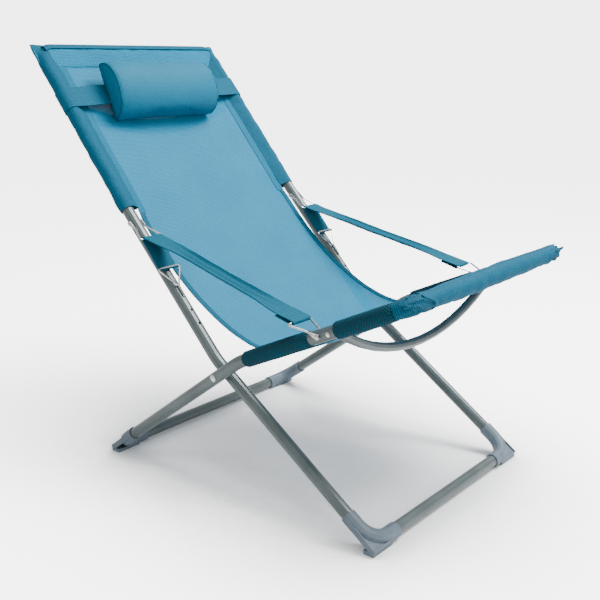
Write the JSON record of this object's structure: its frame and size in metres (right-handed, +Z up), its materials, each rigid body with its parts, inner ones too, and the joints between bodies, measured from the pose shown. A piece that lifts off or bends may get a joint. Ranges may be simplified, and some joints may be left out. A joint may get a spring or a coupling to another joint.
{
  "type": "folding beach chair",
  "caption": "Folding beach chair with a crossed tube frame, textile sling seat and back, strap arms with reclining hooks, and a sliding head pillow.",
  "frame": {"origin": "on the floor, under the middle of the chair's overall box", "axes": "+Z up, +Y towards the back, so the sitter faces -Y; +X is the sitter's left"},
  "size_m": [0.651, 1.0676, 0.921],
  "materials": {
    "frame_paint": "satin grey-green metallic paint",
    "zinc_wire": "bright zinc plate",
    "foot_plastic": "fine matt texture",
    "grip_mesh": "fine open mesh over foam",
    "sling_textile": "plain woven, slightly sheer",
    "strap_textile": "doubled woven cloth with stitched edges",
    "pillow_fabric": "smooth woven cover with piped seams"
  },
  "bodies": {
    "front_frame": {"front_rail_left": "frame_paint", "front_rail_right": "frame_paint", "front_floor_bar": "frame_paint", "back_top_bar": "frame_paint", "front_foot_left": "foot_plastic", "front_foot_right": "foot_plastic", "pivot_rivet_left": "zinc_wire", "pivot_rivet_right": "zinc_wire", "pivot_washer_left": "foot_plastic", "pivot_washer_right": "foot_plastic", "guide_rivet_left": "zinc_wire", "guide_rivet_right": "zinc_wire", "sling_sleeve_left": "sling_textile", "sling_sleeve_right": "sling_textile", "arm_strap_left": "strap_textile", "arm_strap_right": "strap_textile", "sling_top_hem": "sling_textile", "sling_back": "sling_textile", "sling_lumbar": "sling_textile", "sling_bridge": "sling_textile"},
    "rear_frame": {"rear_rail_left": "frame_paint", "rear_rail_right": "frame_paint", "rear_floor_bar": "frame_paint", "seat_front_bar": "frame_paint", "brace_tube": "frame_paint", "rear_foot_left": "foot_plastic", "rear_foot_right": "foot_plastic", "brace_rivet_left": "zinc_wire", "brace_rivet_right": "zinc_wire", "seat_rivet_left": "zinc_wire", "seat_rivet_right": "zinc_wire", "grip_1_left": "grip_mesh", "grip_1_right": "grip_mesh", "grip_2_left": "grip_mesh", "grip_2_right": "grip_mesh", "sling_seat": "sling_textile", "sling_front_hem": "sling_textile"},
    "guide_bail_left": {"guide_bail_left": "zinc_wire"},
    "seat_bail_left": {"seat_bail_left": "zinc_wire"},
    "adjuster_left": {"adjuster_left": "zinc_wire"},
    "guide_bail_right": {"guide_bail_right": "zinc_wire"},
    "seat_bail_right": {"seat_bail_right": "zinc_wire"},
    "adjuster_right": {"adjuster_right": "zinc_wire"},
    "head_pillow": {"pillow": "pillow_fabric", "pillow_band": "pillow_fabric"}
  },
  "joints": [
    {"name": "main_fold", "type": "hinge", "parent": "front_frame", "child": "rear_frame", "pos_m": [0, -0.0715, 0.2673], "axis": [-1, 0, 0], "range_deg": [0, 88], "deforming": ["sling_bridge", "arm_strap_left", "arm_strap_right"]},
    {"name": "guide_bail_hinge_left", "type": "hinge", "parent": "front_frame", "child": "guide_bail_left", "pos_m": [0.2645, 0.2057, 0.54822], "axis": [1, 0, 0], "range_deg": [-75, 0]},
    {"name": "seat_bail_hinge_left", "type": "hinge", "parent": "rear_frame", "child": "seat_bail_left", "pos_m": [0.2945, -0.3453, 0.41437], "axis": [1, 0, 0], "range_deg": [0, 60]},
    {"name": "adjuster_hinge_left", "type": "hinge", "parent": "front_frame", "child": "adjuster_left", "pos_m": [0.2645, 0.05575, 0.40857], "axis": [1, 0, 0], "range_deg": [0, 10]},
    {"name": "guide_bail_hinge_right", "type": "hinge", "parent": "front_frame", "child": "guide_bail_right", "pos_m": [-0.2645, 0.2057, 0.54822], "axis": [1, 0, 0], "range_deg": [-75, 0]},
    {"name": "seat_bail_hinge_right", "type": "hinge", "parent": "rear_frame", "child": "seat_bail_right", "pos_m": [-0.2945, -0.3453, 0.41437], "axis": [1, 0, 0], "range_deg": [0, 60]},
    {"name": "adjuster_hinge_right", "type": "hinge", "parent": "front_frame", "child": "adjuster_right", "pos_m": [-0.2645, 0.05575, 0.40857], "axis": [1, 0, 0], "range_deg": [0, 10]},
    {"name": "pillow_slide", "type": "slide", "parent": "front_frame", "child": "head_pillow", "axis": [0, 0.6566, 0.7543], "range_m": [-0.12, 0.045]}
  ]
}
